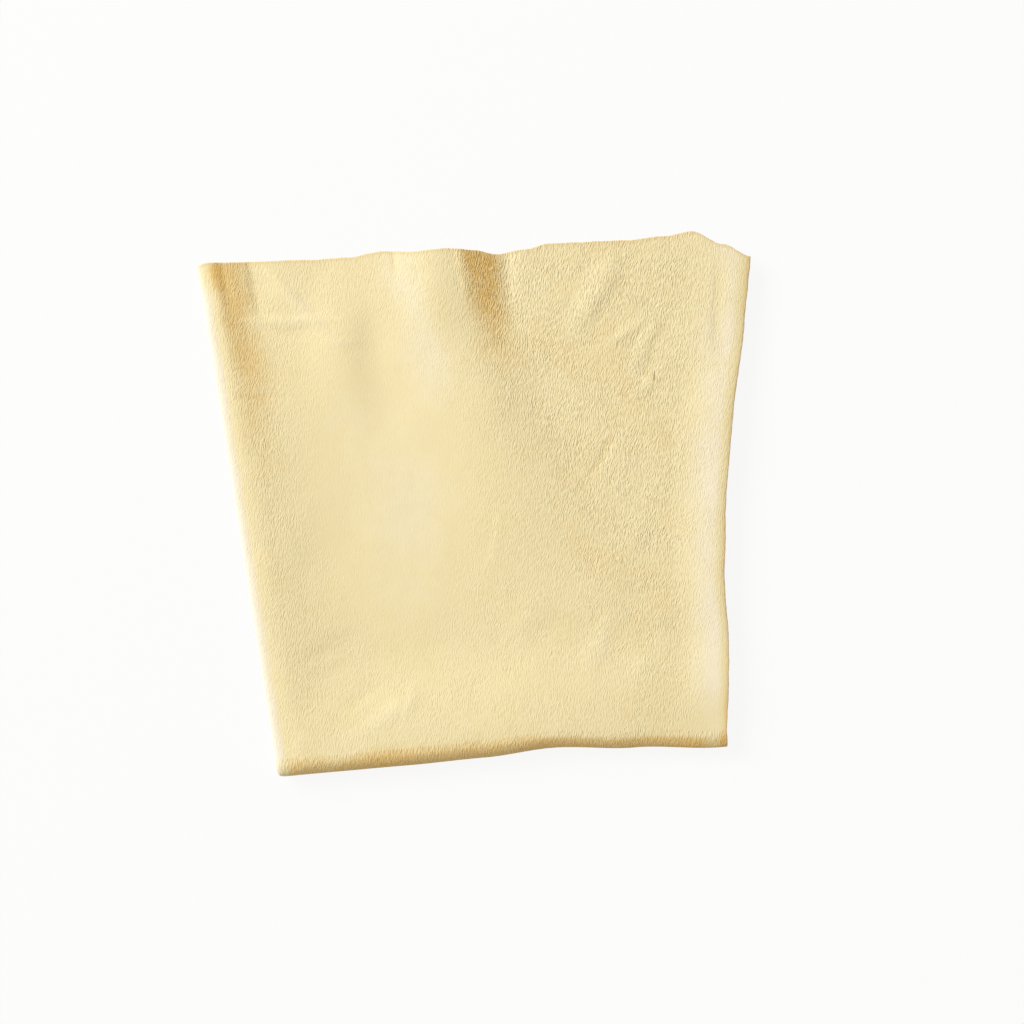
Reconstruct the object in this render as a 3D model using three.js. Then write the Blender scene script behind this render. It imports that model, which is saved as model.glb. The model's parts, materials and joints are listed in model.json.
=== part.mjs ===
import * as THREE from 'three';

// A chamois leather: one natural skin, folded along its spine and then across, lying in a pile of
// four quarters. Lengths are in millimetres. The end fold runs along +X at y = 0, the spine fold
// climbs from the same corner along +Y, and the cut edges are far from both. +Z is up.

// The leather
const leatherThickness = 1.0;
const seamGap = 0.3;
const pivotGap = 0.15;
const leatherColor = 0xefdcaa;
const leatherRoughness = 0.95;

// The folded outline, read on the top quarter
const endFoldLength = 252.5;
const sideFoldLength = 296.0;
const farCornerX = 294.5;
const farCornerY = 273.0;
const foldLeanDegrees = 4.0;

// The folds, as half heights and depths of their rolls at mid leather
const sideRise = 2.4;
const sideDepth = 4.0;
const innerRise = 1.6;
const outerDepth = 7.0;
const innerSetback = 2.4;

// Wandering edges: share of the way along the edge, then the offset there
const endFoldWave = [[0, 0], [0.3, 0.2], [0.47, 0.8], [0.62, 3.0], [0.81, -1.0], [1, -5.0]];
const rightEdgeWave = [[0, 0], [0.19, 1.3], [0.36, -3.0], [0.5, -4.7], [0.66, -4.0], [0.85, -1.0], [1, 0]];
const topEdgeWave = [
  [0, 0], [0.19, 1.2], [0.26, 2.4], [0.32, 5.5], [0.37, 4.8], [0.44, 6.3], [0.49, 5.3], [0.53, 3.0],
  [0.585, 5.7], [0.63, 8.9], [0.77, 10.1], [0.84, 12.1], [0.895, 14.7], [0.95, 7.3], [1, 0],
];

// The loose upper pair: a ridge that runs in from the far edge, broad all along and sharp above, which
// drops into a furrow on its right, a valley along the spine, a small ridge between them and a lifted
// right edge. A form that starts at one place up the skin is full at another.
const ridgeTopY = 296;
const ridgeFootY = 170;
const broadLine = { topX: 113, footX: 141 };
const broadRidge = { height: 3.1, leftWidth: 64, rightWidth: 40, startY: 60, fullY: 200 };
const sharpLine = { topX: 115, footX: 127.6 };
const sharpRidge = { height: 3.4, leftWidth: 30, rightWidth: 50, startY: 222, fullY: 292 };
const smallRidge = { height: 1.7, x: 58, y: 240, width: 26, length: 52 };
const valley = { depth: 1.8, nearWidth: 19, farStart: 22, farEnd: 48, startY: 165, fullY: 300 };
const edgeLift = { height: 2.4, width: 36, fullY: 180, farY: 240, farShare: 0.3 };
const sideTaper = 6;
const endTaper = 34;

// The quarters sink onto each other away from the folds: from the spine with a short ease, evenly for a
// while and ever less to the end. The upper leather sags at the open end of the end fold.
const sinkFromSpine = { ease: 3, even: 23, end: 62 };
const sinkFromEnd = 60;
const endSag = { drop: 2.9, startX: 150, run: 90 };

// How far up the right edge the leather that shows beside the end fold is lost
const reachRun = 74;

// The four quarters from the bottom up. Lean is the side that the spine leans to, inset keeps a hidden
// cut edge inside the top quarter's, reach is how far the edge passes the fold's end beside it, the
// shares are those of the wandering edges, the ridges and the valley, and settle is how far a quarter
// sinks onto the one below.
const lowerPair = { lean: 1, waveShare: 0.6, ridgeShare: 0, valleyShare: 0 };
const upperPair = { lean: -1, waveShare: 1, ridgeShare: 1, valleyShare: 1 };
const baseQuarter = { ...lowerPair, inset: 7, reach: 4.2, settle: 0 };
const secondQuarter = { ...lowerPair, inset: 6, reach: 3.4, settle: 1.8 };
const thirdQuarter = { ...upperPair, inset: 3, reach: 3.6, settle: 1.2, waveShare: 0.9, valleyShare: 0.75 };
const topQuarter = { ...upperPair, inset: 0, reach: 4.8, settle: 4.6 };

// Levels at mid leather, and the lines where flat leather turns into a roll
const baseLevel = leatherThickness / 2;
const secondLevel = baseLevel + 2 * sideRise;
const endPivotLevel = secondLevel + innerRise;
const thirdLevel = endPivotLevel + innerRise;
const topLevel = thirdLevel + 2 * sideRise;
const outerRise = endPivotLevel - baseLevel;
const innerDepth = outerDepth - innerSetback;
const sideTangent = sideDepth + leatherThickness / 2 + pivotGap;
const endTangent = outerDepth + leatherThickness / 2 + pivotGap;
const leanSlope = Math.tan(THREE.MathUtils.degToRad(foldLeanDegrees));

const { clamp, lerp, smoothstep } = THREE.MathUtils;

// Smooth value at a place along a list of places and offsets
function follow(wave, place) {
  const next = clamp(wave.findIndex(([start]) => start > place), 1, wave.length - 1);
  const last = place >= wave[wave.length - 1][0] ? wave.length - 1 : next;
  const [startPlace, startOffset] = wave[last - 1];
  const [endPlace, endOffset] = wave[last];
  return lerp(startOffset, endOffset, smoothstep(place, startPlace, endPlace));
}

// A round hump of height 1 at 0 that ends at one width on either side
function hump(distance, leftWidth, rightWidth) {
  const share = clamp(distance / (distance < 0 ? leftWidth : rightWidth), -1, 1);
  return Math.cos(share * Math.PI / 2) ** 2;
}

const spineX = (y, lean) => sideTangent + lean * leanSlope * y;
const endFoldOffset = (x) => follow(endFoldWave, clamp(x / endFoldLength, 0, 1));

// The four edges of a quarter, each running from 0 to 1
function quarterEdges(quarter) {
  const foldY = (x) => endTangent + seamGap + endFoldOffset(x);
  const sideX = (y) => spineX(y, quarter.lean) + seamGap;
  const lowerLeft = new THREE.Vector2(sideX(endTangent), endTangent + seamGap);
  const upperLeft = new THREE.Vector2(0, sideFoldLength - quarter.inset);
  upperLeft.x = sideX(upperLeft.y);
  const lowerRightX = endFoldLength + quarter.reach;
  const lowerRight = new THREE.Vector2(lowerRightX, foldY(lowerRightX));
  const farCorner = new THREE.Vector2(farCornerX - quarter.inset, farCornerY - quarter.inset);
  return {
    left: (share) => new THREE.Vector2().lerpVectors(lowerLeft, upperLeft, share),
    bottom: (share) => {
      const x = lerp(lowerLeft.x, lowerRight.x, share);
      return new THREE.Vector2(x, foldY(x));
    },
    right: (share) => {
      const y = lerp(lowerRight.y, farCorner.y, share);
      const reach = quarter.reach * (1 - smoothstep(y - lowerRight.y, 0, reachRun));
      const wander = quarter.waveShare * follow(rightEdgeWave, share);
      return new THREE.Vector2(lerp(endFoldLength, farCorner.x, share) + reach + wander, y);
    },
    top: (share) => {
      const offset = new THREE.Vector2(0, quarter.waveShare * follow(topEdgeWave, share));
      return new THREE.Vector2().lerpVectors(upperLeft, farCorner, share).add(offset);
    },
  };
}

// A place inside a quarter, worked in from its four edges
function placeInside({ left, right, bottom, top }, across, along) {
  const between = new THREE.Vector2().lerpVectors(left(along), right(along), across);
  between.add(new THREE.Vector2().lerpVectors(bottom(across), top(across), along));
  const lower = new THREE.Vector2().lerpVectors(bottom(0), bottom(1), across);
  const upper = new THREE.Vector2().lerpVectors(top(0), top(1), across);
  return between.sub(lower.lerp(upper, along));
}

// A ridge along a line that runs in from the far edge
function ridgeHeight(ridge, line, x, y) {
  const lineX = lerp(line.footX, line.topX, (y - ridgeFootY) / (ridgeTopY - ridgeFootY));
  const along = smoothstep(y, ridge.startY, ridge.fullY);
  return ridge.height * along * hump(x - lineX, ridge.leftWidth, ridge.rightWidth);
}

// How far the leather of a quarter buckles up or down from its level
function buckle(quarter, x, y, across) {
  const main = ridgeHeight(broadRidge, broadLine, x, y) + ridgeHeight(sharpRidge, sharpLine, x, y);
  const alongSmall = hump(y - smallRidge.y, smallRidge.length, smallRidge.length);
  const small = smallRidge.height * alongSmall * hump(x - smallRidge.x, smallRidge.width, smallRidge.width);
  const liftShare = lerp(1, edgeLift.farShare, smoothstep(y, edgeLift.fullY, edgeLift.farY));
  const lift = edgeLift.height * liftShare * smoothstep(across, 1 - edgeLift.width / endFoldLength, 1);
  const fromSpine = x - spineX(y, quarter.lean);
  const acrossValley = smoothstep(fromSpine, 0, valley.nearWidth)
    * (1 - smoothstep(fromSpine, valley.farStart, valley.farEnd));
  const hollow = valley.depth * smoothstep(y, valley.startY, valley.fullY) * acrossValley;
  return quarter.ridgeShare * (main + small + lift) - quarter.valleyShare * hollow;
}

// Share of a quarter's sinking at a distance from the spine
function sinking(fromSpine) {
  const { ease, even, end } = sinkFromSpine;
  const whole = (even + end - ease) / 2;
  const distance = clamp(fromSpine, 0, end);
  if (distance < ease) return distance ** 2 / (2 * ease) / whole;
  if (distance < even) return (distance - ease / 2) / whole;
  return 1 - (end - distance) ** 2 / (2 * (end - even)) / whole;
}

// Height of a quarter above its level, which it keeps beside the folds
function looseness(quarter, x, y, across) {
  const fromSpine = x - spineX(y, quarter.lean);
  const fromEnd = y - endTangent;
  const taper = smoothstep(fromSpine, 0, sideTaper) * smoothstep(fromEnd, 0, endTaper);
  const settled = sinking(fromSpine) * smoothstep(fromEnd, 0, sinkFromEnd);
  return taper * buckle(quarter, x, y, across) - quarter.settle * settled;
}

// A point of the pile, lowered where the upper leather sags at the open end of the end fold
function sagged(point) {
  const upper = clamp((point.z - endPivotLevel) / outerRise, 0, 1);
  const towardsOpenEnd = smoothstep(point.x, endSag.startX, endFoldLength);
  const fromEnd = point.y - endTangent - endFoldOffset(point.x);
  point.z -= endSag.drop * upper * towardsOpenEnd * (1 - smoothstep(fromEnd, 0, endSag.run));
  return point;
}

// A closed sheet of leather about a middle surface given over 0..1 by 0..1
function sheet(middle, stepsAcross, stepsAlong) {
  const surface = (across, along) => sagged(middle(across, along));
  const nudge = 1e-4;
  const positions = [];
  for (const side of [0.5, -0.5]) {
    for (let row = 0; row <= stepsAlong; row += 1) {
      for (let column = 0; column <= stepsAcross; column += 1) {
        const across = column / stepsAcross;
        const along = row / stepsAlong;
        const tangent = surface(across + nudge, along).sub(surface(across - nudge, along));
        const bitangent = surface(across, along + nudge).sub(surface(across, along - nudge));
        const normal = tangent.cross(bitangent).normalize();
        const point = surface(across, along).addScaledVector(normal, side * leatherThickness);
        positions.push(point.x, point.y, point.z);
      }
    }
  }
  const rowLength = stepsAcross + 1;
  const sideLength = rowLength * (stepsAlong + 1);
  const faces = [];
  const quad = (a, b, c, d) => faces.push(a, b, c, a, c, d);
  for (let row = 0; row < stepsAlong; row += 1) {
    for (let column = 0; column < stepsAcross; column += 1) {
      const corner = row * rowLength + column;
      const under = corner + sideLength;
      quad(corner, corner + 1, corner + rowLength + 1, corner + rowLength);
      quad(under, under + rowLength, under + rowLength + 1, under + 1);
    }
  }
  const rim = [];
  for (let column = 0; column < stepsAcross; column += 1) rim.push(column);
  for (let row = 0; row < stepsAlong; row += 1) rim.push(row * rowLength + stepsAcross);
  for (let column = stepsAcross; column > 0; column -= 1) rim.push(stepsAlong * rowLength + column);
  for (let row = stepsAlong; row > 0; row -= 1) rim.push(row * rowLength);
  rim.forEach((start, index) => {
    const end = rim[(index + 1) % rim.length];
    quad(start, start + sideLength, end + sideLength, end);
  });
  const geometry = new THREE.BufferGeometry();
  geometry.setAttribute('position', new THREE.Float32BufferAttribute(positions, 3));
  geometry.setIndex(faces);
  return geometry;
}

// A quarter that lies flat, cut from leather of even thickness
function flatQuarter(quarter, level) {
  const edges = quarterEdges(quarter);
  const edgeSteps = 40;
  const outline = [];
  for (let step = 0; step < edgeSteps; step += 1) outline.push(edges.bottom(step / edgeSteps));
  for (let step = 0; step < edgeSteps; step += 1) outline.push(edges.right(step / edgeSteps));
  for (let step = edgeSteps; step > 0; step -= 1) outline.push(edges.top(step / edgeSteps));
  outline.push(edges.left(1));
  const options = { depth: leatherThickness, bevelEnabled: false };
  const geometry = new THREE.ExtrudeGeometry(new THREE.Shape(outline), options);
  return geometry.translate(0, 0, level - leatherThickness / 2);
}

// A quarter that lies loose on the one below
function looseQuarter(quarter, level, stepsAcross, stepsAlong) {
  const edges = quarterEdges(quarter);
  const middle = (across, along) => {
    const { x, y } = placeInside(edges, across, along);
    return new THREE.Vector3(x, y, level + looseness(quarter, x, y, across));
  };
  return sheet(middle, stepsAcross, stepsAlong);
}

// A roll along the spine, joining a quarter to the one above it
function sideRoll(quarter, lowerLevel) {
  const middle = (around, along) => {
    const turn = around * Math.PI;
    const y = lerp(endTangent + seamGap, sideFoldLength - quarter.inset, along);
    const x = spineX(y, quarter.lean) - sideDepth * Math.sin(turn);
    return new THREE.Vector3(x, y, lowerLevel + sideRise * (1 - Math.cos(turn)));
  };
  return sheet(middle, 10, 2);
}

// Where the spine's flat leather ends while the roll turns from the lower pair to the upper pair
const cornerX = (turn) => sideTangent + leanSlope * endTangent * Math.cos(turn);

// A stretch of a roll along the end fold, between two turns about it
function endRoll({ rise, depth, turns, lowerEnd, upperEnd, stepsAround }) {
  const middle = (along, around) => {
    const turn = lerp(turns[0], turns[1], around);
    const x = lerp(cornerX(turn) + seamGap, lerp(upperEnd, lowerEnd, (1 + Math.cos(turn)) / 2), along);
    const y = endTangent + endFoldOffset(x) - depth * Math.sin(turn);
    return new THREE.Vector3(x, y, endPivotLevel - rise * Math.cos(turn));
  };
  return sheet(middle, 24, stepsAround);
}

// A stretch of the spine's roll where it turns round the end fold
function cornerRoll(turns) {
  const middle = (around, bend) => {
    const turn = lerp(turns[0], turns[1], bend);
    const inward = (1 - Math.cos(around * Math.PI)) / 2;
    const x = cornerX(turn) - sideDepth * Math.sin(around * Math.PI);
    const y = endTangent - lerp(outerDepth, innerDepth, inward) * Math.sin(turn);
    return new THREE.Vector3(x, y, endPivotLevel - lerp(outerRise, innerRise, inward) * Math.cos(turn));
  };
  return sheet(middle, 10, 6);
}

const skin = new THREE.Group();

function addLeather(name, geometry) {
  const finish = { color: leatherColor, roughness: leatherRoughness, metalness: 0 };
  const material = new THREE.MeshStandardMaterial(finish);
  const mesh = new THREE.Mesh(geometry, material);
  mesh.name = name;
  skin.add(mesh);
}

// The rolls part at the height of the end fold's pivot, half with the base and half with the top
const partingTurn = seamGap / (2 * outerRise);
const lowerTurns = [0, Math.PI / 2 - partingTurn];
const upperTurns = [Math.PI / 2 + partingTurn, Math.PI];
const outerEnds = {
  rise: outerRise,
  depth: outerDepth,
  lowerEnd: endFoldLength + baseQuarter.reach,
  upperEnd: endFoldLength + topQuarter.reach,
  stepsAround: 6,
};
const innerEnds = {
  rise: innerRise,
  depth: innerDepth,
  lowerEnd: endFoldLength + secondQuarter.reach,
  upperEnd: endFoldLength + thirdQuarter.reach,
  stepsAround: 8,
};

addLeather('base_quarter', flatQuarter(baseQuarter, baseLevel));
addLeather('second_quarter', looseQuarter(secondQuarter, secondLevel, 14, 14));
addLeather('third_quarter', looseQuarter(thirdQuarter, thirdLevel, 24, 20));
addLeather('top_quarter', looseQuarter(topQuarter, topLevel, 24, 20));
addLeather('lower_side_fold', sideRoll(baseQuarter, baseLevel));
addLeather('upper_side_fold', sideRoll(topQuarter, thirdLevel));
addLeather('inner_end_fold', endRoll({ ...innerEnds, turns: [0, Math.PI] }));
addLeather('outer_end_fold_base', endRoll({ ...outerEnds, turns: lowerTurns }));
addLeather('outer_end_fold_top', endRoll({ ...outerEnds, turns: upperTurns }));
addLeather('lower_corner_fold', cornerRoll(lowerTurns));
addLeather('upper_corner_fold', cornerRoll(upperTurns));

// The origin is under the middle of the pile
const extent = new THREE.Box3().setFromObject(skin);
const middle = extent.getCenter(new THREE.Vector3());
skin.position.set(-middle.x, -middle.y, -extent.min.z);

const part = new THREE.Group();
part.add(skin);

export default part;
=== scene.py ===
import json
import math

import bmesh
import bpy
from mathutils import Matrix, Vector, noise


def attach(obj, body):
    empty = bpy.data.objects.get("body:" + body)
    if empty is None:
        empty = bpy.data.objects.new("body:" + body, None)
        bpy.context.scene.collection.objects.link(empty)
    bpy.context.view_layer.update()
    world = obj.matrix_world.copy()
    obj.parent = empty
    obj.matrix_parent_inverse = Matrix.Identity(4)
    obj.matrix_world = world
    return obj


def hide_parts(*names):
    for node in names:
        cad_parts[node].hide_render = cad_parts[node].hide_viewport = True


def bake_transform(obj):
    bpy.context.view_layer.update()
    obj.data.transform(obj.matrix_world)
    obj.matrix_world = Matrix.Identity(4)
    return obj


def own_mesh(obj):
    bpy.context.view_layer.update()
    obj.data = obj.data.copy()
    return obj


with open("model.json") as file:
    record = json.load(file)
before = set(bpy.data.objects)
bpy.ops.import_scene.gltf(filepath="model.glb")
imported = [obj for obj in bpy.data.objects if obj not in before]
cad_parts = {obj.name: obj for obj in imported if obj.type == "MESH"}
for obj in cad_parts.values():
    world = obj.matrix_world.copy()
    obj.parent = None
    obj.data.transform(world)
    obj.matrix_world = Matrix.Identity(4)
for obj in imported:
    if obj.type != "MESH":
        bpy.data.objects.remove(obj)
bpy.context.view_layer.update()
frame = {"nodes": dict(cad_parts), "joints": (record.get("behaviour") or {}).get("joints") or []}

mm = 0.001
farInside = 99.0            # mm, well away from any cut edge
jointAt = {joint["name"]: joint["pos_m"] for joint in frame["joints"]}
pileCorner = Vector((jointAt["spine_fold"][0], jointAt["spine_fold"][1], 0))
print("frame loaded,", len(frame["nodes"]), "nodes")

# lengths are in mm from the corner where both folds meet, x along the end fold, y up the spine fold
outline = {
    "endFold": 252.5,
    "sideFold": 296.0,
    "farCorner": (294.5, 273.0),
    "lean": math.tan(math.radians(4)),
    "endWave": [(0, 0), (0.3, 0.2), (0.47, 0.8), (0.62, 3.0), (0.81, -1.0), (1, -5.0)],
    "rightWave": [(0, 0), (0.19, 1.3), (0.36, -3.0), (0.5, -4.7), (0.66, -4.0), (0.85, -1.0), (1, 0)],
    "topWave": [
        (0, 0), (0.19, 1.2), (0.26, 2.4), (0.32, 5.5), (0.37, 4.8), (0.44, 6.3), (0.49, 5.3), (0.53, 3.0),
        (0.585, 5.7), (0.63, 8.9), (0.77, 10.1), (0.84, 12.1), (0.895, 14.7), (0.95, 7.3), (1, 0),
    ],
}
leather = {"thickness": 1.0, "edgeRound": 0.5, "edgeThin": 0.35, "edgeRows": (1.2, 0.6, 0.3, 0.1, 0.0)}
levels = {"base": 0.5, "second": 5.3, "pivot": 6.9, "third": 8.5, "top": 13.3}
rolls = {
    "sideRise": 2.4, "sideDepth": 4.0, "sideTangent": 4.65,
    "outerRise": 6.4, "outerDepth": 7.0, "endTangent": 7.65,
    "innerRise": 1.6, "innerDepth": 4.6, "innerTangent": 3.8, "innerTuck": 1.6, "creaseTurn": 0.8,
    "creaseBlend": 0.1,
    "lap": 2.5,             # flat leather that goes with each roll
    "sideArc": 10.2, "endArc": 21.0,
}
# the quarters from the bottom up
# wave and valley are shares, and reach is how far the edge passes the end of the fold
baseQuarter = {"lean": 1, "inset": 7, "reach": 4.2, "wave": 0.6, "valley": 0, "settle": 0, "seed": 1}
secondQuarter = {"lean": 1, "inset": 6, "reach": 3.4, "wave": 0.6, "valley": 0, "settle": 1.8, "seed": 2}
thirdQuarter = {"lean": -1, "inset": 3, "reach": 3.6, "wave": 0.9, "valley": 0.75, "settle": 1.2, "seed": 3}
topQuarter = {"lean": -1, "inset": 0, "reach": 4.8, "wave": 1, "valley": 1, "settle": 4.6, "seed": 4}
reachRun = 74.0             # how far up the right edge the reach is lost


def clamp(value, low=0.0, high=1.0):
    return max(low, min(high, value))


def lerp(start, end, share):
    return start + (end - start) * share


def smooth(value, low, high):
    share = clamp((value - low) / (high - low))
    return share * share * (3 - 2 * share)


def follow(wave, place):
    for (startPlace, startOffset), (endPlace, endOffset) in zip(wave, wave[1:]):
        if place <= endPlace:
            return lerp(startOffset, endOffset, smooth(place, startPlace, endPlace))
    return wave[-1][1]


def hump(distance, leftWidth, rightWidth):
    share = clamp(distance / (leftWidth if distance < 0 else rightWidth), -1, 1)
    return math.cos(share * math.pi / 2) ** 2


def spineX(y, lean):
    return rolls["sideTangent"] + lean * outline["lean"] * y


def endOffset(x):
    return follow(outline["endWave"], clamp(x / outline["endFold"]))


def cornerX(turn):
    return rolls["sideTangent"] + outline["lean"] * rolls["endTangent"] * math.cos(turn)


# gentle unevenness of leather that isn't pulled tight
slackness = {
    "height": 0.3, "alongLength": 50.0, "asideLength": 22.0, "levelLength": 27.0, "pull": math.radians(52),
    "fineHeight": 0.06, "fineLength": 9.0, "fineStart": 400.0,
}


def unevenness(x, y, z):
    along = x * math.cos(slackness["pull"]) + y * math.sin(slackness["pull"])
    aside = y * math.cos(slackness["pull"]) - x * math.sin(slackness["pull"])
    broad = noise.noise(Vector((
        along / slackness["alongLength"], aside / slackness["asideLength"], z / slackness["levelLength"])))
    fine = noise.noise(Vector((x + slackness["fineStart"], y, z)) / slackness["fineLength"])
    return slackness["height"] * broad + slackness["fineHeight"] * fine


# a frayed cut: small bites along the edge
cutEdge = {
    "bite": 0.35, "biteLength": 7.0, "fray": 0.16, "frayLength": 2.2, "fraySeed": 20, "topSeed": 9,
    "startShare": 0.03, "worn": (0.2, 2.4),
}


def frayed(place, seed):
    bite = noise.noise(Vector((place / cutEdge["biteLength"], seed, 0)))
    fray = noise.noise(Vector((place / cutEdge["frayLength"], seed + cutEdge["fraySeed"], 0)))
    return cutEdge["bite"] * bite + cutEdge["fray"] * fray


def sharesTo(steps, length, cut):
    if not cut:
        return [index / steps for index in range(steps + 1)]
    last = 1 - (leather["edgeRows"][0] + length / steps) / length
    even = [last * index / (steps - 1) for index in range(steps)]
    return even + [1 - gap / length for gap in leather["edgeRows"]]


def turnsTo(start, end, steps, lapBefore, lapAfter):
    # each entry is the turn round the roll and how far onto the flat beside it
    lapShares = [1.0, 0.5]
    entries = [(start, share * rolls["lap"]) for share in lapShares] if lapBefore else []
    entries += [(lerp(start, end, index / steps), 0.0) for index in range(steps + 1)]
    if lapAfter:
        entries += [(end, share * rolls["lap"]) for share in reversed(lapShares)]
    return entries


def pastRoll(turn, lap):
    return lap if turn > 1 else -lap  # a lap lies at a turn of 0 or of half a circle


def edgeThickness(distance):
    share = clamp(distance / leather["edgeRound"])
    return max(leather["edgeThin"], math.sqrt(1 - (1 - share) ** 2))


# the upper leather rounds down over both folds, and sags to the open end of the end fold
shoulder = {"endDrop": 0.3, "endRun": (-6.0, 0.5), "sideDrop": 1.0, "sideRun": (-2.0, 13.0)}
sag = {"drop": 2.9, "across": (150, 254), "run": (0, 90)}


def rounded(x, y, z):
    overEnd = clamp((z - levels["pivot"]) / (levels["top"] - levels["pivot"]))
    fromEnd = y - rolls["endTangent"] - endOffset(x)
    endDrop = shoulder["endDrop"] * (1 - smooth(fromEnd, *shoulder["endRun"]))
    overSide = clamp((z - levels["top"]) / rolls["sideRise"] + 1)
    fromSpine = x - spineX(y, topQuarter["lean"])
    sideDrop = shoulder["sideDrop"] * (1 - smooth(fromSpine, *shoulder["sideRun"]))
    sagged = sag["drop"] * smooth(x, *sag["across"]) * (1 - smooth(fromEnd, *sag["run"]))
    return z - overEnd * (endDrop + sagged) - overSide * sideDrop


def makeLeather(name, columns, rows, surface, columnCut=0.0, rowCut=0.0):
    # surface gives x, y, z, the flat skin's u and v, nap and tone; a cut length thins the far edge
    bm = bmesh.new()
    bmesh.ops.create_grid(bm, x_segments=len(columns) - 1, y_segments=len(rows) - 1, size=0.5)
    napLayer = bm.verts.layers.float.new("nap")
    toneLayer = bm.verts.layers.float.new("tone")
    cutLayer = bm.verts.layers.float.new("cutEdge")
    deformLayer = bm.verts.layers.deform.verify()
    uvLayer = bm.loops.layers.uv.new("skin")
    bm.verts.index_update()
    flatSkin = {}
    for vert in bm.verts:
        column = round((vert.co.x + 0.5) * (len(columns) - 1))
        row = round((vert.co.y + 0.5) * (len(rows) - 1))
        x, y, z, u, v, nap, tone = surface(columns[column], rows[row])
        vert.co = pileCorner + Vector((x, y, z)) * mm
        flatSkin[vert.index] = (u * mm, v * mm)
        fromCut = farInside
        if columnCut:
            fromCut = min(fromCut, (1 - columns[column]) * columnCut)
        if rowCut:
            fromCut = min(fromCut, (1 - rows[row]) * rowCut)
        vert[napLayer] = nap
        vert[toneLayer] = tone
        vert[cutLayer] = 1 - smooth(fromCut, *cutEdge["worn"])
        vert[deformLayer][0] = edgeThickness(fromCut)
    for face in bm.faces:
        face.smooth = True
        for loop in face.loops:
            loop[uvLayer].uv = flatSkin[loop.vert.index]
    for edge in bm.edges:
        edge.smooth = not edge.is_boundary
    flatArea = sum(face.calc_area() for face in bm.faces)
    mesh = bpy.data.meshes.new(name)
    bm.normal_update()
    bm.to_mesh(mesh)
    bm.free()
    piece = bpy.data.objects.new(name + "_suede", mesh)
    bpy.context.scene.collection.objects.link(piece)
    piece.vertex_groups.new(name="thickness")
    body = piece.modifiers.new("thickness", "SOLIDIFY")
    body.thickness = leather["thickness"] * mm
    body.offset = 0
    body.use_quality_normals = True
    body.vertex_group = "thickness"
    print("made", name, len(mesh.vertices), "points")
    return piece


neverFalls = (400, 401)     # past the far edge
# how the upper pair buckles, each ridge along a line from its top to its foot
buckles = {
    "ridges": [
        {"top": (113, 296), "foot": (141, 170), "rise": (60, 200), "fall": neverFalls,
         "height": 3.1, "left": 64, "flat": 0, "right": 40, "spread": 18},
        {"top": (115, 296), "foot": (127.6, 170), "rise": (230, 290), "fall": neverFalls,
         "height": 3.4, "left": 30, "flat": 13, "right": 27, "spread": 0},
        {"top": (57, 296), "foot": (60, 180), "rise": (185, 235), "fall": (248, 290),
         "height": 1.7, "left": 30, "flat": 0, "right": 22, "spread": 0},
        {"top": (129, 294), "foot": (131, 262), "rise": (250, 285), "fall": neverFalls,
         "height": 0.5, "left": 5, "flat": 0, "right": 6, "spread": 0},
    ],
    "spreadRun": (140, 200),
    "valleyDepth": 1.8, "valleyRun": (165, 300), "valleyNear": (0, 19), "valleyFar": (22, 48),
    "liftHeight": 2.4, "liftWidth": 36, "liftRun": (180, 240), "liftLeft": 0.3,
    "liftWander": 6, "liftLength": 38, "liftSeed": 3,
    "curlDrop": 0.5, "curlWidth": 7.0,
    "sideTaper": 6, "endTaper": 34, "sinkRun": (3, 23, 62), "endRun": (0, 60),
}
# the third quarter's edge lies against the top's
meeting = {"gap": 1.2, "width": (8, 36), "run": (0, 11)}
# sharp folds where the leather turns: the line, depth, ease on the left and right, and its run up the skin
pleats = [
    {"top": (157.0, 296), "foot": (154.0, 243), "depth": 0.8, "left": 13, "right": 8, "rise": (240, 280)},
    {"top": (8.5, 296), "foot": (12.0, 262), "depth": 0.8, "left": 5, "right": 13, "rise": (250, 284)},
    {"top": (-7.0, 296), "foot": (-2.5, 258), "depth": 0.9, "left": 9, "right": 6, "rise": (252, 286)},
]


def lineX(ridge, y):
    share = (y - ridge["foot"][1]) / (ridge["top"][1] - ridge["foot"][1])
    return lerp(ridge["foot"][0], ridge["top"][0], share)


def ridgeLine(y):
    return lineX(buckles["ridges"][0], y)


def sharpFold(distance, left, right):
    # a sharp fold at 0 that eases out on both sides
    share = clamp(abs(distance) / (left if distance < 0 else right))
    return 1 - math.sin(share * math.pi / 2)


def buckled(x, y, fromRight, valleyShare):
    height = 0.0
    for ridge in buckles["ridges"]:
        along = smooth(y, *ridge["rise"]) * (1 - smooth(y, *ridge["fall"]))
        right = ridge["right"] + ridge["spread"] * (1 - smooth(y, *buckles["spreadRun"]))
        aside = x - lineX(ridge, y)
        aside -= clamp(aside, 0, ridge["flat"])
        height += ridge["height"] * along * hump(aside, ridge["left"], right)
    for pleat in pleats:
        sunk = pleat["depth"] * smooth(y, *pleat["rise"])
        height -= sunk * sharpFold(x - lineX(pleat, y), pleat["left"], pleat["right"])
    fromSpine = x - spineX(y, topQuarter["lean"])
    valley = smooth(fromSpine, *buckles["valleyNear"]) * (1 - smooth(fromSpine, *buckles["valleyFar"]))
    height -= valleyShare * buckles["valleyDepth"] * smooth(y, *buckles["valleyRun"]) * valley
    wander = buckles["liftWander"] * noise.noise(Vector((y / buckles["liftLength"], buckles["liftSeed"], 0)))
    lift = lerp(1, buckles["liftLeft"], smooth(y, *buckles["liftRun"]))
    height += buckles["liftHeight"] * lift * (1 - smooth(fromRight, 0, buckles["liftWidth"] + wander))
    return height - buckles["curlDrop"] * clamp(1 - fromRight / buckles["curlWidth"]) ** 2


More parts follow.
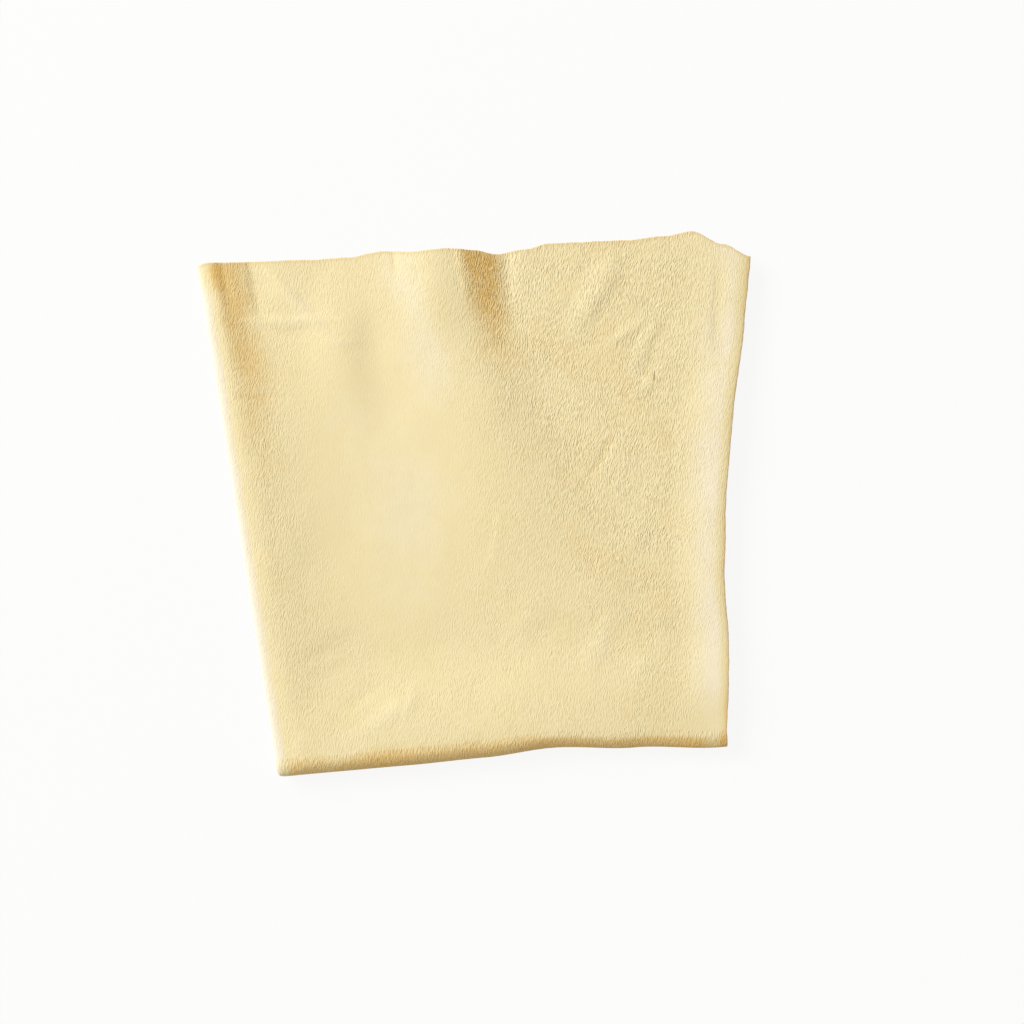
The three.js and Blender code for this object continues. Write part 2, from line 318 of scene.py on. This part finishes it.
def sunken(distance):
    # sinks at once beside the fold, evenly for a while, and then ever less
    start, even, end = buckles["sinkRun"]
    whole = even - start / 2 + (end - even) / 2
    if distance < start:
        return max(0, distance) ** 2 / (2 * start) / whole
    if distance < even:
        return (distance - start / 2) / whole
    return 1 - max(0, end - distance) ** 2 / (2 * (end - even)) / whole


# wrinkles as raised lines, negative ones sunk: from, to, width on each side, height
wrinkles = {
    "wander": 1.3, "wanderLength": 19.0, "wanderSeed": 7, "asideSeed": 50, "fade": 8, "fadeShare": 0.35,
    "lines": [
        ((220, 279), (190, 238), (10, 14), 1.05),
        ((237, 246), (211, 229), (4, 6), 0.45),
        ((243, 247), (220, 211), (6, 8), 0.55),
        ((238, 211), (223, 199), (5, 7), 0.35),
        ((207, 178), (194, 158), (6, 2.4), -0.35),
        ((275, 276), (270, 214), (9, 4), -0.4),
        ((17, 291), (47, 254), (4, 5), 0.6),
        ((2, 261), (52, 257), (4, 6), 0.5),
        ((51, 245), (66, 244), (5, 5), 0.2),
        ((-6, 218), (24, 216), (3, 3), -0.2),
        ((24, 2), (84, 41), (9, 9), 0.6),
        ((81, 41), (71, 17), (6, 3), 0.3),
        ((17, 64), (52, 76), (9, 8), -0.2),
        ((29, 55), (46, 61), (7, 7), -0.12),
        ((41, 36), (60, 46), (7, 6), -0.25),
        ((139, 144), (133, 112), (5, 3), 0.16),
        ((200, 78), (181, 46), (10, 10), 0.4),
        ((160, 88), (140, 66), (12, 10), 0.25),
        ((226, 60), (208, 36), (10, 10), 0.25),
        ((92, 283), (91, 298), (3, 3), -0.5),
    ],
}


def wrinkled(x, y):
    height = 0.0
    fade, fadeShare = wrinkles["fade"], wrinkles["fadeShare"]
    place = Vector((x, y, wrinkles["wanderSeed"])) / wrinkles["wanderLength"]
    x += wrinkles["wander"] * noise.noise(place)
    y += wrinkles["wander"] * noise.noise(place + Vector((wrinkles["asideSeed"], 0, 0)))
    for (startX, startY), (endX, endY), (before, after), rise in wrinkles["lines"]:
        runX, runY = endX - startX, endY - startY
        length = math.hypot(runX, runY)
        along = ((x - startX) * runX + (y - startY) * runY) / length
        if along < -fade or along > length + fade:
            continue
        aside = ((x - startX) * runY - (y - startY) * runX) / length
        ends = smooth(along, -fade, fadeShare * length)
        ends *= 1 - smooth(along, (1 - fadeShare) * length, length + fade)
        height += rise * ends * hump(aside, before, after)
    return height


# the nap is rough all over but for the middle, and roughest in the furrow, the valley and the right half
roughness = {
    "plain": 0.34, "right": 0.33, "rightRun": (4, 50), "rightRise": (-40, 130),
    "furrow": 0.45, "furrowRun": (130, 290), "furrowAt": 24, "furrowWidth": 28,
    "valley": 0.3, "valleyAt": 16, "valleyLeft": 16, "valleyRight": 20,
    "end": 0.25, "endRun": (3, 9), "edge": 0.34, "edgeRun": (6, 44), "least": 0.1,
    "hidden": 0.4, "sideRoll": 0.25, "endRoll": 0.6, "corner": 0.5,
    "smooth": 0.32, "smoothAt": (78, 160), "smoothSize": (62, 120), "smoothReach": (0.35, 1.1),
}


def middleShare(x, y, reach):
    (smoothX, smoothY), (smoothWide, smoothLong) = roughness["smoothAt"], roughness["smoothSize"]
    return 1 - smooth(math.hypot((x - smoothX) / smoothWide, (y - smoothY) / smoothLong), *reach)


def napOn(x, y, fromRight):
    aside = x - ridgeLine(y)
    fromSpine = x - spineX(y, topQuarter["lean"])
    right = smooth(aside, *roughness["rightRun"]) * smooth(y, *roughness["rightRise"])
    furrow = smooth(y, *roughness["furrowRun"]) * hump(
        aside - roughness["furrowAt"], roughness["furrowWidth"], roughness["furrowWidth"])
    valley = clamp(y / outline["sideFold"]) * hump(
        fromSpine - roughness["valleyAt"], roughness["valleyLeft"], roughness["valleyRight"])
    end = 1 - smooth(y, *roughness["endRun"])
    nap = roughness["plain"] + roughness["right"] * right + roughness["furrow"] * furrow
    nap += roughness["valley"] * valley + roughness["end"] * end
    nap -= roughness["edge"] * (1 - smooth(fromRight, *roughness["edgeRun"]))
    nap -= roughness["smooth"] * middleShare(x, y, roughness["smoothReach"])
    return clamp(nap, roughness["least"])


# tone runs from 0, pale, over 0.5, plain, to 1, deep tan; deep is painted shade in the furrow, valley, tip,
# end band and curled right edge, pale is painted highlight on the lit flank, raised creases, left fold and
# right edge band, and wear in the smooth middle
paintedLightShadeAndWear = {
    "furrowRun": (212, 292), "furrowAt": 25, "furrowLeft": 18, "furrowRight": 17, "furrow": 0.52,
    "valleyRun": (110, 300), "valleyAt": 11, "valleyLeft": 13, "valleyRight": 22, "valley": 0.25,
    "flankRun": (150, 280), "flankAt": -19, "flankLeft": 30, "flankRight": 18, "flank": 0.24,
    "spineWidth": (-4, 5), "spine": 0.5, "tipRun": (272, 290), "tipWidth": (2, 13), "tip": 0.3,
    "rightWidth": (8, 40), "rightRun": (6, 30), "right": 0.3, "curlWidth": (0, 8), "curl": 0.46,
    "endFull": -3.0, "endReach": (8.0, 0.3), "endRun": (115, 165), "end": 0.27,
    "plain": 0.5, "hidden": 0.58, "middle": 0.12, "middleReach": (0.2, 0.85),
    "crease": 0.3, "creaseLimit": (-0.4, 0.3), "cornerWidth": (4, 18), "cornerRun": (4, 22), "corner": 0.2,
}


def toneOn(x, y, fromSpine, fromEnd, fromRight):
    aside = x - ridgeLine(y)
    besideFurrow = x - lineX(buckles["ridges"][1], y) - paintedLightShadeAndWear["furrowAt"]
    # painted shade: deep tan on the furrow, the valley, the end band, the top left tip and the curled right
    # edge, where the leather faces away from the lamp
    paintedShade = paintedLightShadeAndWear["furrow"] * smooth(y, *paintedLightShadeAndWear["furrowRun"]) * hump(
        besideFurrow, paintedLightShadeAndWear["furrowLeft"], paintedLightShadeAndWear["furrowRight"])
    paintedShade += paintedLightShadeAndWear["valley"] * smooth(y, *paintedLightShadeAndWear["valleyRun"]) * hump(
        fromSpine - paintedLightShadeAndWear["valleyAt"], paintedLightShadeAndWear["valleyLeft"], paintedLightShadeAndWear["valleyRight"])
    endReach = lerp(*paintedLightShadeAndWear["endReach"], smooth(x, *paintedLightShadeAndWear["endRun"]))
    paintedShade += paintedLightShadeAndWear["end"] * (1 - smooth(fromEnd, paintedLightShadeAndWear["endFull"], endReach))
    paintedShade += paintedLightShadeAndWear["tip"] * smooth(y, *paintedLightShadeAndWear["tipRun"]) * (1 - smooth(fromSpine, *paintedLightShadeAndWear["tipWidth"]))
    paintedShade += paintedLightShadeAndWear["curl"] * (1 - smooth(fromRight, *paintedLightShadeAndWear["curlWidth"]))
    # painted highlight: paler on the lit left flank, the raised creases, the left fold, the right edge band
    # and the lower right corner, with painted shade in sunk creases; the smooth middle is paler from wear
    pale = paintedLightShadeAndWear["flank"] * smooth(y, *paintedLightShadeAndWear["flankRun"]) * hump(
        aside - paintedLightShadeAndWear["flankAt"], paintedLightShadeAndWear["flankLeft"], paintedLightShadeAndWear["flankRight"])
    pale += paintedLightShadeAndWear["crease"] * clamp(wrinkled(x, y), *paintedLightShadeAndWear["creaseLimit"])
    pale += paintedLightShadeAndWear["middle"] * middleShare(x, y, paintedLightShadeAndWear["middleReach"])
    pale += paintedLightShadeAndWear["spine"] * (1 - smooth(fromSpine, *paintedLightShadeAndWear["spineWidth"]))
    pale += paintedLightShadeAndWear["right"] * (1 - smooth(fromRight, *paintedLightShadeAndWear["rightWidth"])) * smooth(
        fromEnd, *paintedLightShadeAndWear["rightRun"])
    pale += paintedLightShadeAndWear["corner"] * (1 - smooth(fromRight, *paintedLightShadeAndWear["cornerWidth"])) * (
        1 - smooth(fromEnd, *paintedLightShadeAndWear["cornerRun"]))
    return clamp(paintedLightShadeAndWear["plain"] + paintedShade - pale)


def makeQuarter(name, quarter, level, steps, loose):
    lap = rolls["lap"]
    inner = quarter in (secondQuarter, thirdQuarter)
    foldLine = rolls["innerTangent" if inner else "endTangent"] + lap
    lowerLeft = (spineX(foldLine, quarter["lean"]) + lap, foldLine)
    upperY = outline["sideFold"] - quarter["inset"]
    upperLeft = (spineX(upperY, quarter["lean"]) + lap, upperY)
    lowerRightX = outline["endFold"] + quarter["reach"]
    lowerRight = (lowerRightX, foldLine + endOffset(lowerRightX))
    farCorner = [edge - quarter["inset"] for edge in outline["farCorner"]]
    rightLength = farCorner[1] - lowerRight[1]
    topLength = farCorner[0] - upperLeft[0]
    upper = quarter["lean"] < 0

    def surface(across, along):
        leftX, leftY = lerp(lowerLeft[0], upperLeft[0], along), lerp(lowerLeft[1], upperLeft[1], along)
        bottomX = lerp(lowerLeft[0], lowerRight[0], across)
        bottomY = foldLine + endOffset(bottomX)
        rightX = lerp(outline["endFold"], farCorner[0], along)
        rightX += quarter["wave"] * follow(outline["rightWave"], along)
        rightX += quarter["reach"] * (1 - smooth(along * rightLength, 0, reachRun))
        rightX += frayed(along * rightLength, quarter["seed"]) * smooth(along, 0, cutEdge["startShare"])
        rightY = lerp(lowerRight[1], farCorner[1], along)
        topY = lerp(upperLeft[1], farCorner[1], across)
        topY += quarter["wave"] * follow(outline["topWave"], across)
        topY += frayed(across * topLength, quarter["seed"] + cutEdge["topSeed"]) * smooth(
            across, 0, cutEdge["startShare"])
        straightBottom = lerp(lowerLeft[1], lowerRight[1], across)
        straightTop = lerp(upperLeft[1], farCorner[1], across)
        x = lerp(leftX, rightX, across)
        y = lerp(leftY, rightY, across) + lerp(bottomY, topY, along)
        y -= lerp(straightBottom, straightTop, along)
        fromSpine = x - spineX(y, quarter["lean"]) - lap
        fromEnd = y - rolls["endTangent"] - endOffset(x) - lap
        taper = smooth(fromSpine, 0, buckles["sideTaper"]) * smooth(fromEnd, 0, buckles["endTaper"])
        settled = sunken(fromSpine) * smooth(fromEnd, *buckles["endRun"])
        z = level - quarter["settle"] * settled
        fromRight = (1 - across) * topLength
        if upper:
            z += taper * (buckled(x, y, fromRight, quarter["valley"]) + wrinkled(x, y))
            z += unevenness(x, y, levels["top"]) * (1 if loose else taper)
        z = rounded(x, y, z)
        if quarter is thirdQuarter:
            above = levels["top"] - topQuarter["settle"] * settled + unevenness(x, y, levels["top"])
            above += taper * (buckled(x, y, fromRight, topQuarter["valley"]) + wrinkled(x, y))
            near = (1 - smooth(fromRight, *meeting["width"])) * smooth(fromEnd, *meeting["run"])
            z = lerp(z, rounded(x, y, above) - meeting["gap"], near)
        u = rolls["sideArc"] / 2 + lap + fromSpine
        v = rolls["endArc"] / 2 + lap + fromEnd
        if inner:
            u = -u
        nap, tone = roughness["hidden"], paintedLightShadeAndWear["hidden"]
        if loose:
            nap, tone = napOn(x, y, fromRight), toneOn(x, y, fromSpine + lap, fromEnd + lap, fromRight)
        return x, y, z, u, v if upper else -v, nap, tone

    columns = sharesTo(steps[0], topLength, True)
    rows = sharesTo(steps[1], rightLength, True)
    return makeLeather(name, columns, rows, surface, topLength, rightLength)


def makeSideRoll(name, lower, upper, lowerLevel, steps, loose):
    startY = rolls["endTangent"] + rolls["lap"]
    length = outline["sideFold"] - startY

    def surface(entry, along):
        turn, lap = entry
        share = turn / math.pi
        inset = lerp(lower["inset"], upper["inset"], share)
        y = lerp(startY, outline["sideFold"] - inset, along)
        x = spineX(y, lower["lean"]) - rolls["sideDepth"] * math.sin(turn) + lap
        z = lowerLevel + rolls["sideRise"] * (1 - math.cos(turn))
        if loose:
            bulge = unevenness(x, y, z) * smooth(share, 0, 1)
            x -= bulge * math.sin(turn)
            z -= bulge * math.cos(turn)
        outerShare = share if loose else 1 - share
        u = rolls["sideArc"] * (outerShare - 0.5) + (1 if loose else -1) * pastRoll(turn, lap)
        v = rolls["endArc"] / 2 + y - rolls["endTangent"]
        tone = paintedLightShadeAndWear["hidden"]
        if loose:
            # the upper side fold takes the painted highlight of the left fold from the tone
            tone = toneOn(x, y, x - spineX(y, lower["lean"]), y - rolls["endTangent"], farInside)
        return x, y, rounded(x, y, z), u, v if loose else -v, roughness["sideRoll"], tone

    columns = turnsTo(0, math.pi, steps[0], True, True)
    return makeLeather(name, columns, sharesTo(steps[1], length, True), surface, rowCut=length)


def makeEndRoll(name, lower, upper, rise, depth, turns, laps, steps, outer):
    length = outline["endFold"]
    tangent = rolls["endTangent" if outer else "innerTangent"]

    def surface(along, entry):
        turn, lap = entry
        share = turn / math.pi
        endX = outline["endFold"] + lerp(upper["reach"], lower["reach"], (1 + math.cos(turn)) / 2)
        startX = cornerX(turn) + rolls["lap"]
        x = lerp(startX, endX, along)
        y = tangent + endOffset(x) - depth * math.sin(turn) + lap
        z = levels["pivot"] - rise * math.cos(turn)
        if outer:
            bulge = unevenness(x, y, z) * smooth(share, 0, 1)
            y -= bulge * math.sin(turn)
            z -= bulge * math.cos(turn)
        u = rolls["sideArc"] / 2 + x - cornerX(turn)
        v = rolls["endArc"] * (share - 0.5) + pastRoll(turn, lap)
        tone = paintedLightShadeAndWear["hidden"]
        if outer:
            fromSpine = x - spineX(y, topQuarter["lean"])
            # the outer end roll takes the painted shade of the end band from the tone
            tone = toneOn(x, y, fromSpine, y - rolls["endTangent"] - endOffset(x), endX - x)
        return x, y, rounded(x, y, z), u if outer else -u, v, roughness["endRoll"], tone

    rows = turnsTo(turns[0], turns[1], steps[1], *laps)
    if not outer:
        # a sharp crease, with nothing round the turn that would stand up when it opens
        rows = [entry for entry in rows if abs(math.cos(entry[0])) > rolls["creaseTurn"]]
    return makeLeather(name, sharesTo(steps[0], length, True), rows, surface, columnCut=length)


def makeCorner(name, turns, laps, steps):
    def surface(aroundEntry, bendEntry):
        around, sideLap = aroundEntry
        turn, endLap = bendEntry
        inward = (1 - math.cos(around)) / 2
        rise = lerp(rolls["outerRise"], rolls["innerRise"], inward)
        depth = lerp(rolls["outerDepth"], rolls["innerDepth"], inward)
        lean = math.copysign(1, math.cos(turn))
        x = cornerX(turn) - rolls["sideDepth"] * math.sin(around) + sideLap + lean * outline["lean"] * endLap
        y = rolls["endTangent"] - depth * math.sin(turn) + endLap
        z = levels["pivot"] - rise * math.cos(turn)
        bulge = unevenness(x, y, z) * smooth(turn / math.pi, 0, 1) * (1 - smooth(around / math.pi, 0, 1))
        x -= bulge * math.sin(around)
        y -= bulge * math.cos(around) * math.sin(turn)
        z -= bulge * math.cos(around) * math.cos(turn)
        u = rolls["sideArc"] * (0.5 - around / math.pi) - pastRoll(around, sideLap)
        v = rolls["endArc"] * (turn / math.pi - 0.5) + pastRoll(turn, endLap)
        # the corner takes the painted highlight of the left fold and the painted shade of the end band from
        # the tone
        tone = toneOn(x, y, x - spineX(y, topQuarter["lean"]), y - rolls["endTangent"], farInside)
        return x, y, rounded(x, y, z), u, v, roughness["corner"], tone

    columns = turnsTo(0, math.pi, steps[0], True, True)
    rows = turnsTo(turns[0], turns[1], steps[1], *laps)
    return makeLeather(name, columns, rows, surface)


pieces = {}
pieces["base_quarter"] = makeQuarter("base_quarter", baseQuarter, levels["base"], (90, 90), False)
pieces["second_quarter"] = makeQuarter("second_quarter", secondQuarter, levels["second"], (90, 90), False)
pieces["third_quarter"] = makeQuarter("third_quarter", thirdQuarter, levels["third"], (110, 110), False)
pieces["top_quarter"] = makeQuarter("top_quarter", topQuarter, levels["top"], (200, 204), True)
pieces["lower_side_fold"] = makeSideRoll(
    "lower_side_fold", baseQuarter, secondQuarter, levels["base"], (20, 120), False)
pieces["upper_side_fold"] = makeSideRoll(
    "upper_side_fold", thirdQuarter, topQuarter, levels["third"], (24, 200), True)
halfTurn = math.pi / 2
pieces["inner_end_fold"] = makeEndRoll(
    "inner_end_fold", secondQuarter, thirdQuarter, rolls["innerRise"], rolls["innerTuck"],
    (0, math.pi), (True, True), (110, 16), False)
pieces["outer_end_fold_base"] = makeEndRoll(
    "outer_end_fold_base", baseQuarter, topQuarter, rolls["outerRise"], rolls["outerDepth"],
    (0, halfTurn), (True, False), (180, 16), True)
pieces["outer_end_fold_top"] = makeEndRoll(
    "outer_end_fold_top", baseQuarter, topQuarter, rolls["outerRise"], rolls["outerDepth"],
    (halfTurn, math.pi), (False, True), (180, 16), True)
pieces["lower_corner_fold"] = makeCorner("lower_corner_fold", (0, halfTurn), (True, False), (24, 16))
pieces["upper_corner_fold"] = makeCorner("upper_corner_fold", (halfTurn, math.pi), (False, True), (24, 16))


def addNode(tree, kind, inputs, **settings):
    made = tree.nodes.new(kind)
    for key, value in settings.items():
        setattr(made, key, value)
    for socket, value in inputs.items():
        if isinstance(value, bpy.types.NodeSocket):
            tree.links.new(value, made.inputs[socket])
        else:
            made.inputs[socket].default_value = value
    return made


def mixColor(tree, share, first, second):
    return addNode(tree, "ShaderNodeMix", {0: share, 6: first, 7: second}, data_type="RGBA").outputs[2]


def reckon(tree, operation, first, second):
    return addNode(tree, "ShaderNodeMath", {0: first, 1: second}, operation=operation).outputs[0]


def ranged(tree, value, low, high, toLow=0.0, toHigh=1.0):
    settings = {"Value": value, "From Min": low, "From Max": high, "To Min": toLow, "To Max": toHigh}
    return addNode(tree, "ShaderNodeMapRange", settings, interpolation_type="SMOOTHSTEP").outputs[0]


def seenStraight(tree):
    # rays that show the white backdrop rather than light the leather
    path = addNode(tree, "ShaderNodeLightPath", {})
    seen = reckon(tree, "MAXIMUM", path.outputs["Is Camera Ray"], path.outputs["Is Glossy Ray"])
    return reckon(tree, "MAXIMUM", seen, path.outputs["Is Transmission Ray"])


def linear(red, green, blue):
    parts = [part / 255 for part in (red, green, blue)]
    return [part / 12.92 if part <= 0.04045 else ((part + 0.055) / 1.055) ** 2.4 for part in parts] + [1]


suede = {
    "cream": linear(244, 230, 181), "pale": linear(248, 239, 218), "tan": linear(231, 192, 112),
    "streakDark": linear(166, 147, 102), "streakLight": linear(255, 252, 226),
    "pit": linear(150, 108, 58), "cut": linear(228, 202, 150),
    "cloud": 24, "patch": 60, "fine": 150, "streak": 1900, "grain": 1700, "pits": 170,
    "leanDegrees": -17, "streakLength": 5.5, "streakShare": 0.27, "swayScale": 60, "sway": 0.0035,
    # ranges read from a pattern, with what they become where it isn't 0 to 1
    "darkStreaks": (0.46, 0.32), "lightStreaks": (0.46, 0.6), "patchShare": (0.32, 0.66, 0.7, 1.05),
    "cloudTone": (0.3, 0.7, -0.06, 0.06), "napTone": (0.1, 0.7, 0.0, 0.08),
    "fineShare": (0.45, 0.75, 0.0, 0.07), "grainRough": (0.3, 0.7, 0.86, 0.97),
    "pitChance": (0.9, 0.93), "pitShape": (0.13, 0.05), "pitNap": (0.35, 0.8),
    "cutShare": 0.55, "pitShare": 0.8, "pitDepth": 0.5, "grainHeight": 0.05,
    "specular": 0.1, "sheen": 0.2, "sheenRoughness": 0.45,
    "sheenTint": linear(255, 248, 230), "bumpDepth": 0.00075, "bumpStrength": 1.0,
}


def makeSuede():
    material = bpy.data.materials.new("chamois suede")
    material.use_nodes = True
    tree = material.node_tree
    shader = tree.nodes["Principled BSDF"]
    skin = addNode(tree, "ShaderNodeTexCoord", {}).outputs["UV"]
    napShare = addNode(tree, "ShaderNodeAttribute", {}, attribute_name="nap").outputs["Fac"]
    toneShare = addNode(tree, "ShaderNodeAttribute", {}, attribute_name="tone").outputs["Fac"]
    cutShare = addNode(tree, "ShaderNodeAttribute", {}, attribute_name="cutEdge").outputs["Fac"]

    cloud = addNode(tree, "ShaderNodeTexNoise", {"Vector": skin, "Scale": suede["cloud"], "Detail": 4.0})
    patch = addNode(tree, "ShaderNodeTexNoise", {"Vector": skin, "Scale": suede["patch"], "Detail": 2.0})
    fine = addNode(tree, "ShaderNodeTexNoise", {"Vector": skin, "Scale": suede["fine"], "Detail": 3.0})
    # nap lies along the spine in short streaks whose direction wanders
    wander = addNode(
        tree, "ShaderNodeTexNoise", {"Vector": skin, "Scale": suede["swayScale"], "Detail": 1.0})
    sway = addNode(
        tree, "ShaderNodeVectorMath", {0: wander.outputs["Color"], "Scale": suede["sway"]}, operation="SCALE")
    lain = addNode(tree, "ShaderNodeVectorMath", {0: skin, 1: sway.outputs[0]}, operation="ADD")
    stretched = addNode(
        tree, "ShaderNodeMapping",
        {"Vector": lain.outputs[0], "Rotation": (0, 0, math.radians(suede["leanDegrees"])),
         "Scale": (1, suede["streakLength"], 1)}, vector_type="TEXTURE")
    streak = addNode(
        tree, "ShaderNodeTexNoise",
        {"Vector": stretched.outputs[0], "Scale": suede["streak"], "Detail": 0.0})
    grain = addNode(tree, "ShaderNodeTexNoise", {"Vector": skin, "Scale": suede["grain"], "Detail": 2.0})
    pitCells = addNode(
        tree, "ShaderNodeTexVoronoi", {"Vector": stretched.outputs[0], "Scale": suede["pits"]})
    pitColor = addNode(tree, "ShaderNodeSeparateColor", {"Color": pitCells.outputs["Color"]})
    pitChance = ranged(tree, pitColor.outputs["Red"], *suede["pitChance"])
    pitShape = ranged(tree, pitCells.outputs["Distance"], *suede["pitShape"])
    pitted = ranged(tree, napShare, *suede["pitNap"])
    pits = reckon(tree, "MULTIPLY", reckon(tree, "MULTIPLY", pitChance, pitShape), pitted)

    # painted light and shade from the tone attribute, with soft clouds in it, and a little deeper tan where
    # the nap is rough, which adds to the painted shade in the furrow, valley and end band
    clouded = reckon(tree, "ADD", toneShare, ranged(tree, cloud.outputs["Fac"], *suede["cloudTone"]))
    clouded = reckon(tree, "ADD", clouded, ranged(tree, napShare, *suede["napTone"]))
    # the pale colour carries painted highlight and wear, the tan carries painted shade
    paleShare = ranged(tree, clouded, paintedLightShadeAndWear["plain"], 0.0)
    deepShare = ranged(tree, clouded, paintedLightShadeAndWear["plain"], 1.0)
    color = mixColor(tree, paleShare, suede["cream"], suede["pale"])
    color = mixColor(tree, deepShare, color, suede["tan"])
    # streaks are stronger where the nap is rough, in patches
    patchShare = ranged(tree, patch.outputs["Fac"], *suede["patchShare"])
    roughShare = reckon(tree, "MULTIPLY", napShare, patchShare)
    streakShare = reckon(tree, "MULTIPLY", roughShare, suede["streakShare"])
    darkStreaks = ranged(tree, streak.outputs["Fac"], *suede["darkStreaks"])
    lightStreaks = ranged(tree, streak.outputs["Fac"], *suede["lightStreaks"])
    color = mixColor(tree, reckon(tree, "MULTIPLY", darkStreaks, streakShare), color, suede["streakDark"])
    color = mixColor(tree, reckon(tree, "MULTIPLY", lightStreaks, streakShare), color, suede["streakLight"])
    fineShare = ranged(tree, fine.outputs["Fac"], *suede["fineShare"])
    color = mixColor(tree, fineShare, color, suede["tan"])
    color = mixColor(tree, reckon(tree, "MULTIPLY", cutShare, suede["cutShare"]), color, suede["cut"])
    color = mixColor(tree, reckon(tree, "MULTIPLY", pits, suede["pitShare"]), color, suede["pit"])
    tree.links.new(color, shader.inputs["Base Color"])

    tree.links.new(ranged(tree, grain.outputs["Fac"], *suede["grainRough"]), shader.inputs["Roughness"])
    shader.inputs["Specular IOR Level"].default_value = suede["specular"]
    shader.inputs["Sheen Weight"].default_value = suede["sheen"]
    shader.inputs["Sheen Roughness"].default_value = suede["sheenRoughness"]
    shader.inputs["Sheen Tint"].default_value = suede["sheenTint"]

    # streaks stand up and lie down about the leather's own height, and pits are sunk in it
    streakHeight = reckon(tree, "SUBTRACT", streak.outputs["Fac"], 0.5)
    streakHeight = reckon(tree, "MULTIPLY", streakHeight, roughShare)
    grainHeight = reckon(tree, "MULTIPLY", grain.outputs["Fac"], suede["grainHeight"])
    height = reckon(tree, "ADD", streakHeight, grainHeight)
    height = reckon(tree, "SUBTRACT", height, reckon(tree, "MULTIPLY", pits, suede["pitDepth"]))
    bump = addNode(
        tree, "ShaderNodeBump",
        {"Height": height, "Strength": suede["bumpStrength"], "Distance": suede["bumpDepth"]})
    tree.links.new(bump.outputs[0], shader.inputs["Normal"])
    return material


suedeMaterial = makeSuede()
for name, piece in pieces.items():
    piece.data.materials.append(suedeMaterial)
    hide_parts(name)
print("suede laid on", len(pieces), "pieces")

# each quarter goes with its body, and the two halves of the parted outer roll go with the base and the top
for name, body in {
    "base_quarter": "base", "second_quarter": "second", "third_quarter": "third", "top_quarter": "top",
    "outer_end_fold_base": "base", "outer_end_fold_top": "top",
}.items():
    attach(pieces[name], body)
# the buckled quarters and the parted outer roll each get a mesh of their own
opened = {"keep": 0.1, "levels": {
    "third_quarter": levels["third"], "top_quarter": levels["top"],
    "outer_end_fold_base": levels["base"], "outer_end_fold_top": levels["top"],
}}
for name, level in opened["levels"].items():
    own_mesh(pieces[name])


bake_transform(pieces["lower_side_fold"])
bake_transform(pieces["upper_side_fold"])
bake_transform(pieces["inner_end_fold"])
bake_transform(pieces["lower_corner_fold"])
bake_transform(pieces["upper_corner_fold"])

stage = {
    "floorSize": 12.0, "floorDrop": 0.0004, "floorColor": (0.82, 0.82, 0.82, 1), "white": 0.9,
    "worldColor": (1.0, 0.9, 0.75, 1), "worldStrength": 0.44,
    "keyPower": 274.0, "keySize": 2.75, "keyTurn": 143.0, "keyHeight": 32.0, "keyDistance": 5.0,
    "keyColor": (0.98, 1.0, 1.05),
    "aim": (0.0091, -0.0062, 0.012), "pictureWidth": 0.5837, "distance": 1.8, "sensor": 36.0, "roll": -5.0,
}


def makeFloor():
    bm = bmesh.new()
    bmesh.ops.create_grid(bm, x_segments=1, y_segments=1, size=stage["floorSize"] / 2)
    bmesh.ops.translate(bm, verts=bm.verts, vec=(0, 0, -stage["floorDrop"]))
    mesh = bpy.data.meshes.new("floor")
    bm.to_mesh(mesh)
    bm.free()
    floor = bpy.data.objects.new("floor", mesh)
    bpy.context.scene.collection.objects.link(floor)
    material = bpy.data.materials.new("pale floor")
    material.use_nodes = True
    tree = material.node_tree
    tree.nodes.remove(tree.nodes["Principled BSDF"])
    plain = addNode(tree, "ShaderNodeBsdfDiffuse", {"Color": stage["floorColor"]})
    white = addNode(tree, "ShaderNodeEmission", {"Color": (1, 1, 1, 1), "Strength": 1.0})
    share = reckon(tree, "MULTIPLY", seenStraight(tree), stage["white"])
    mixed = addNode(tree, "ShaderNodeMixShader", {0: share, 1: plain.outputs[0], 2: white.outputs[0]})
    tree.links.new(mixed.outputs[0], tree.nodes["Material Output"].inputs["Surface"])
    mesh.materials.append(material)


def makeWorld():
    world = bpy.data.worlds.new("studio")
    bpy.context.scene.world = world
    world.use_nodes = True
    tree = world.node_tree
    light = tree.nodes["Background"]
    light.inputs["Color"].default_value = stage["worldColor"]
    light.inputs["Strength"].default_value = stage["worldStrength"]
    white = addNode(tree, "ShaderNodeBackground", {"Color": (1, 1, 1, 1), "Strength": 1.0})
    mixed = addNode(
        tree, "ShaderNodeMixShader", {0: seenStraight(tree), 1: light.outputs[0], 2: white.outputs[0]})
    tree.links.new(mixed.outputs[0], tree.nodes["World Output"].inputs["Surface"])


def makeKeyLight():
    lamp = bpy.data.lights.new("key", "AREA")
    lamp.energy = stage["keyPower"]
    lamp.size = stage["keySize"]
    lamp.color = stage["keyColor"]
    key = bpy.data.objects.new("key", lamp)
    turn, height = math.radians(stage["keyTurn"]), math.radians(stage["keyHeight"])
    toKey = Vector((math.cos(turn) * math.cos(height), math.sin(turn) * math.cos(height), math.sin(height)))
    key.location = toKey * stage["keyDistance"]
    key.rotation_euler = (-toKey).to_track_quat("-Z", "Y").to_euler()
    bpy.context.scene.collection.objects.link(key)


def makeCamera():
    lens = bpy.data.cameras.new("camera")
    lens.sensor_width = stage["sensor"]
    lens.lens = stage["sensor"] * stage["distance"] / stage["pictureWidth"]
    camera = bpy.data.objects.new("camera", lens)
    camera.location = Vector(stage["aim"]) + Vector((0, 0, stage["distance"]))
    camera.rotation_euler = (0, 0, math.radians(stage["roll"]))
    bpy.context.scene.collection.objects.link(camera)
    bpy.context.scene.camera = camera


makeFloor()
makeWorld()
makeKeyLight()
makeCamera()
bpy.context.scene.view_settings.view_transform = "Standard"
print("stage set")
